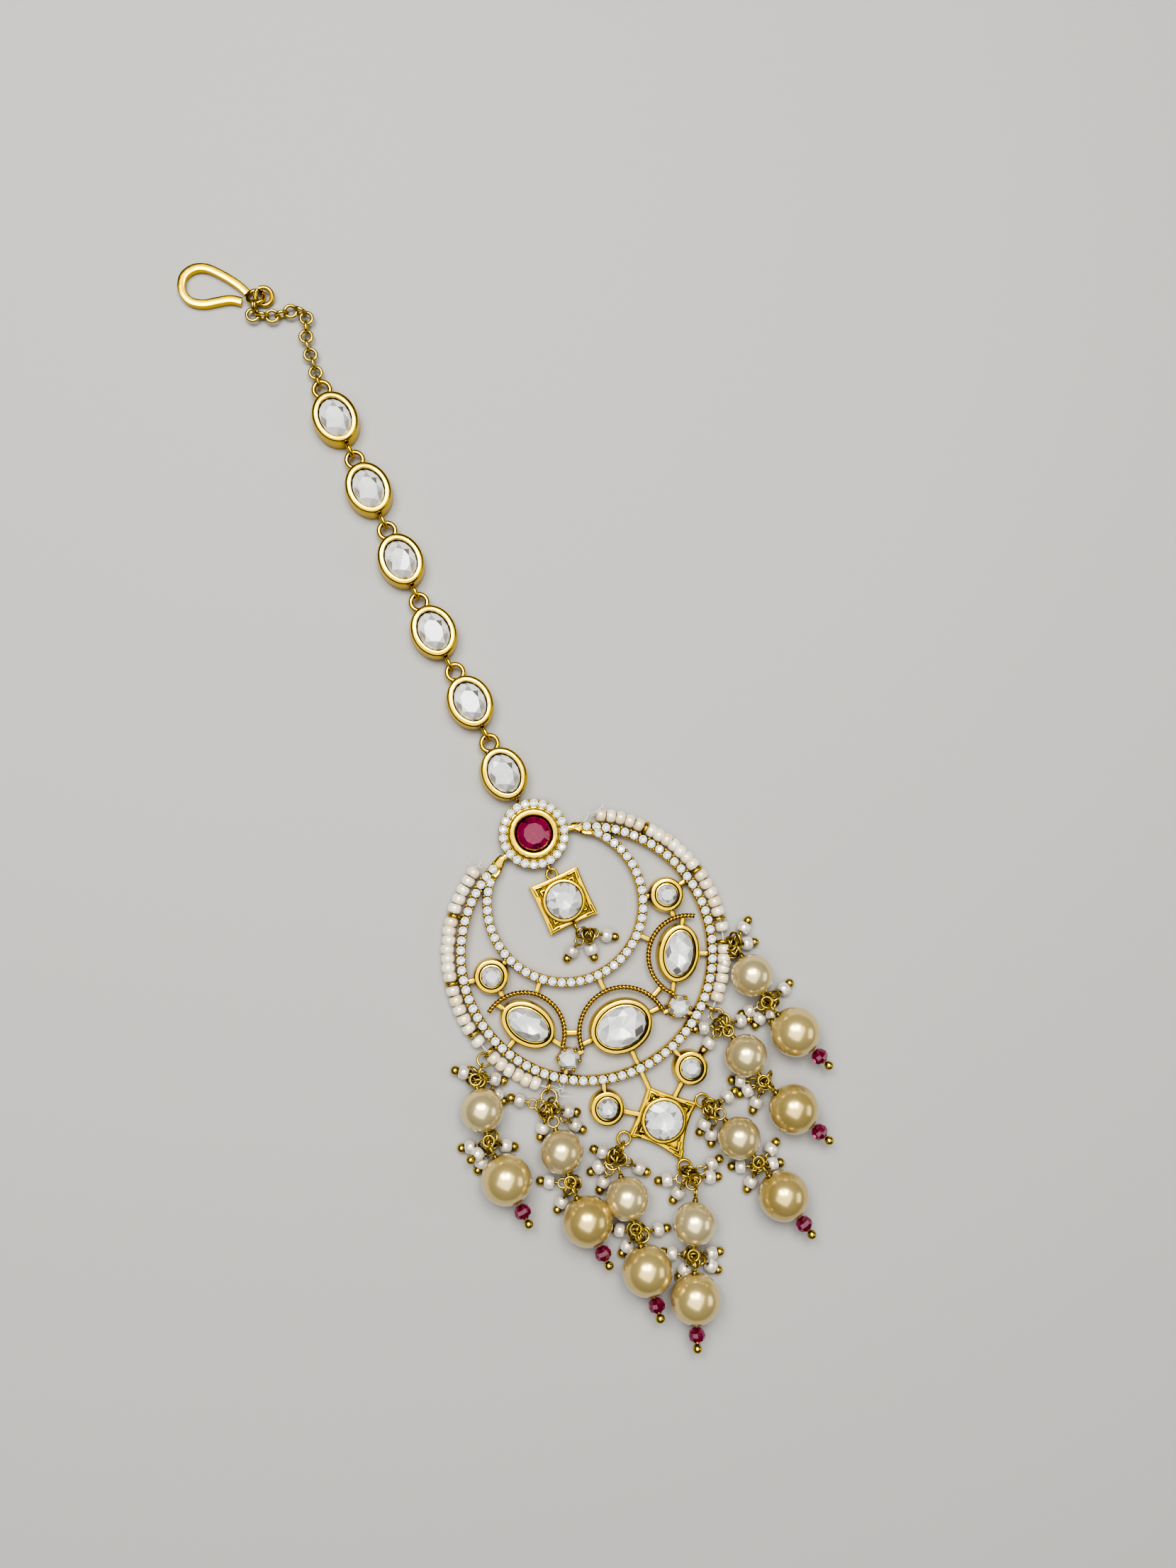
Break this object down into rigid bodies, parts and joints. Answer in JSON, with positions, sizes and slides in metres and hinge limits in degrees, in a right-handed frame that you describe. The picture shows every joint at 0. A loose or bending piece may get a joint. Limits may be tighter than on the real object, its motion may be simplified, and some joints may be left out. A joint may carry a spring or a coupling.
{
  "type": "maang tikka",
  "caption": "Forehead ornament: a chain of stone links from a hair hook to a ruby cluster, a crescent of set stones, a star drop and a fringe of pearl tassels.",
  "frame": {"origin": "centre of the ruby cluster's flat back, on the surface the ornament lies on", "axes": "+Y up the chain to the hair hook, -Y to the tassels, +X to the wearer's left as seen face on, +Z out of the face"},
  "size_m": [0.0517, 0.169, 0.0069],
  "materials": {
    "bright_gold": "bright polished yellow gold plate",
    "aged_gold": "darkened antique gold wire",
    "white_crystal": "foil-backed faceted white stone",
    "ruby": "faceted deep pink-red stone",
    "champagne_nacre": "silvery champagne pearl lustre",
    "golden_nacre": "golden pearl lustre",
    "cream_glass": "small cream glass beads on thread"
  },
  "bodies": {
    "root": {"big_oval_stone": "white_crystal", "crescent_frame": "bright_gold", "hair_hook": "bright_gold", "jump_ring": "bright_gold", "link_setting_1": "bright_gold", "link_setting_2": "bright_gold", "link_setting_3": "bright_gold", "link_setting_4": "bright_gold", "link_setting_5": "bright_gold", "link_setting_6": "bright_gold", "link_stone_1": "white_crystal", "link_stone_2": "white_crystal", "link_stone_3": "white_crystal", "link_stone_4": "white_crystal", "link_stone_5": "white_crystal", "link_stone_6": "white_crystal", "low_round_stone_left": "white_crystal", "low_round_stone_right": "white_crystal", "lower_pearl_1": "golden_nacre", "lower_pearl_2": "golden_nacre", "lower_pearl_3": "golden_nacre", "lower_pearl_4": "golden_nacre", "lower_pearl_5": "golden_nacre", "lower_pearl_6": "golden_nacre", "lower_pearl_7": "golden_nacre", "prong_stone_left": "white_crystal", "prong_stone_right": "white_crystal", "rolo_chain": "aged_gold", "ruby": "ruby", "seed_string_left": "cream_glass", "seed_string_right": "cream_glass", "side_oval_stone_left": "white_crystal", "side_oval_stone_right": "white_crystal", "side_round_stone_left": "white_crystal", "side_round_stone_right": "white_crystal", "square_drop": "bright_gold", "square_drop_stone": "white_crystal", "star_stone": "white_crystal", "tassel_wire_1": "aged_gold", "tassel_wire_2": "aged_gold", "tassel_wire_3": "aged_gold", "tassel_wire_4": "aged_gold", "tassel_wire_5": "aged_gold", "tassel_wire_6": "aged_gold", "tassel_wire_7": "aged_gold", "upper_pearl_1": "champagne_nacre", "upper_pearl_2": "champagne_nacre", "upper_pearl_3": "champagne_nacre", "upper_pearl_4": "champagne_nacre", "upper_pearl_5": "champagne_nacre", "upper_pearl_6": "champagne_nacre", "upper_pearl_7": "champagne_nacre"}
  },
  "joints": []
}
